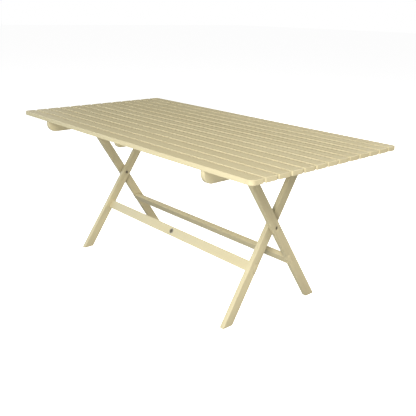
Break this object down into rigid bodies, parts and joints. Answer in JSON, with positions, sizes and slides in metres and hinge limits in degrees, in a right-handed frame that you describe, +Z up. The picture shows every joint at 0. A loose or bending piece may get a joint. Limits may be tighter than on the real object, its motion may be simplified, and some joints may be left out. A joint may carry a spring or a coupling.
{
  "type": "folding picnic table",
  "caption": "Folding slatted picnic table: rectangular top on battens, carried by two crossed leg frames that fold flat beneath it.",
  "frame": {"origin": "on the floor, under the middle of the tabletop", "axes": "+X along the table to its right end, -Y to the front, +Z up"},
  "size_m": [1.72, 0.9, 0.73],
  "materials": {
    "painted_wood": "satin paint",
    "zinc_steel": "zinc plated",
    "dark_steel": "dull"
  },
  "bodies": {
    "tabletop": {"slat_01": "painted_wood", "slat_02": "painted_wood", "slat_03": "painted_wood", "slat_04": "painted_wood", "slat_05": "painted_wood", "slat_06": "painted_wood", "slat_07": "painted_wood", "slat_08": "painted_wood", "slat_09": "painted_wood", "slat_10": "painted_wood", "slat_11": "painted_wood", "slat_12": "painted_wood", "slat_13": "painted_wood", "side_batten_left": "painted_wood", "side_batten_right": "painted_wood", "centre_batten": "painted_wood", "slat_screws": "zinc_steel", "hinge_bolt_left": "zinc_steel", "hinge_bolt_right": "zinc_steel", "hinge_spacer_left": "zinc_steel", "hinge_spacer_right": "zinc_steel", "hinge_nut_left": "zinc_steel", "hinge_nut_right": "zinc_steel", "hook_bracket_left": "zinc_steel", "hook_bracket_right": "zinc_steel", "hook_pin_left": "zinc_steel", "hook_pin_right": "zinc_steel", "bracket_screws": "zinc_steel"},
    "outer_frame": {"outer_leg_left": "painted_wood", "outer_leg_right": "painted_wood", "rear_rail": "painted_wood", "rear_rail_screws": "zinc_steel", "pivot_bolt_left": "dark_steel", "pivot_bolt_right": "dark_steel", "pivot_spacer_left": "zinc_steel", "pivot_spacer_right": "zinc_steel", "pivot_nut_left": "dark_steel", "pivot_nut_right": "dark_steel"},
    "inner_frame": {"inner_leg_left": "painted_wood", "inner_leg_right": "painted_wood", "front_rail": "painted_wood", "front_rail_screws": "zinc_steel", "rail_eyelet": "zinc_steel", "catch_pin_left": "zinc_steel", "catch_pin_right": "zinc_steel"},
    "catch_hook_left": {"catch_hook_left": "zinc_steel"},
    "catch_hook_right": {"catch_hook_right": "zinc_steel"}
  },
  "joints": [
    {"name": "outer_frame_fold", "type": "hinge", "parent": "tabletop", "child": "outer_frame", "pos_m": [0, -0.19969, 0.684], "axis": [1, 0, 0], "range_deg": [0, 52.5]},
    {"name": "inner_frame_fold", "type": "hinge", "parent": "outer_frame", "child": "inner_frame", "pos_m": [0, 0, 0.38], "axis": [-1, 0, 0], "range_deg": [0, 105]},
    {"name": "catch_hook_left_turn", "type": "hinge", "parent": "tabletop", "child": "catch_hook_left", "pos_m": [-0.532, 0.07008, 0.698], "axis": [-1, 0, 0], "range_deg": [0, 40.3]},
    {"name": "catch_hook_right_turn", "type": "hinge", "parent": "tabletop", "child": "catch_hook_right", "pos_m": [0.532, 0.07008, 0.698], "axis": [-1, 0, 0], "range_deg": [0, 40.3]}
  ],
  "couplings": [
    {"joint": "inner_frame_fold", "follows": "outer_frame_fold", "ratio": 2}
  ]
}
